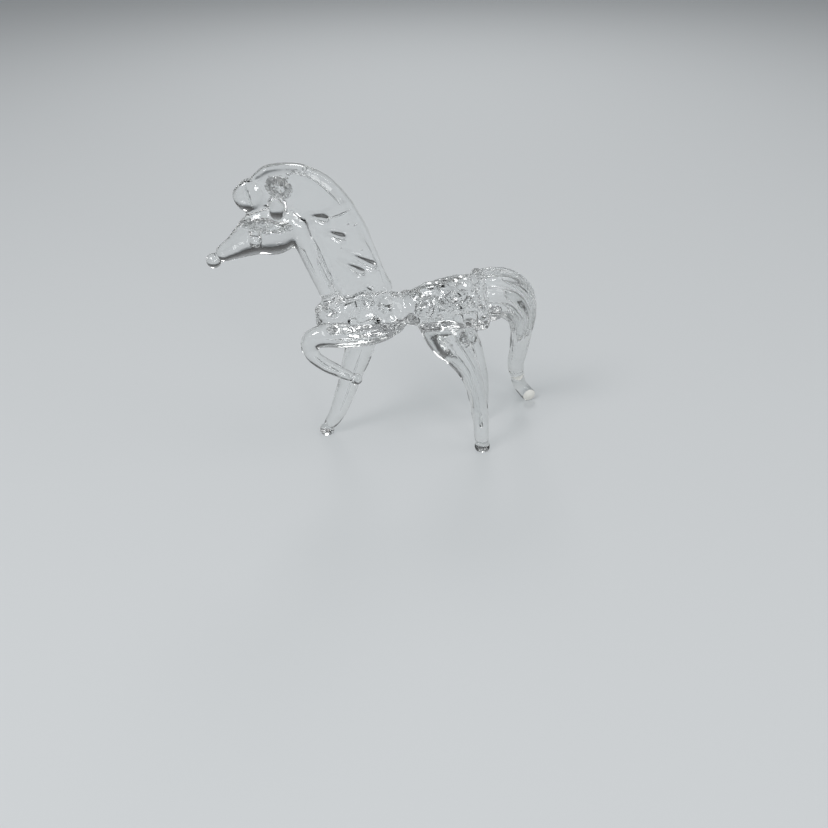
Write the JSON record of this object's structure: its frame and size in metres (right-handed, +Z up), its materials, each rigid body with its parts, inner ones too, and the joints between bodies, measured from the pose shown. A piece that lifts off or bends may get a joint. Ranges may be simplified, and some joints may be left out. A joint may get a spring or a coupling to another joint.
{
  "type": "glass horse figurine",
  "caption": "Clear lampworked glass horse ornament standing with one foreleg raised, a tall flattened mane, a crimped barrel and a grooved arched tail that reaches the ground.",
  "frame": {"origin": "on the ground under the middle of the bounding box", "axes": "+Z up, the horse looks toward -X with its tail toward +X, its left side faces -Y"},
  "size_m": [0.0704, 0.025, 0.063],
  "materials": {
    "clear_glass": "fire polished"
  },
  "bodies": {
    "root": {"barrel": "clear_glass", "shoulder": "clear_glass", "hip_wrap": "clear_glass", "neck_collar": "clear_glass", "head": "clear_glass", "neck": "clear_glass", "nose_bead": "clear_glass", "left_eye": "clear_glass", "right_eye": "clear_glass", "mane_lower": "clear_glass", "mane_upper": "clear_glass", "forelock": "clear_glass", "left_ear": "clear_glass", "right_ear": "clear_glass", "left_fore_hoof": "clear_glass", "left_foreleg": "clear_glass", "right_fore_hoof": "clear_glass", "right_foreleg": "clear_glass", "left_hind_hoof": "clear_glass", "right_hind_hoof": "clear_glass", "left_hind_leg": "clear_glass", "right_hind_leg": "clear_glass", "belly_bead": "clear_glass", "tail": "clear_glass", "tail_tip": "clear_glass"}
  },
  "joints": []
}
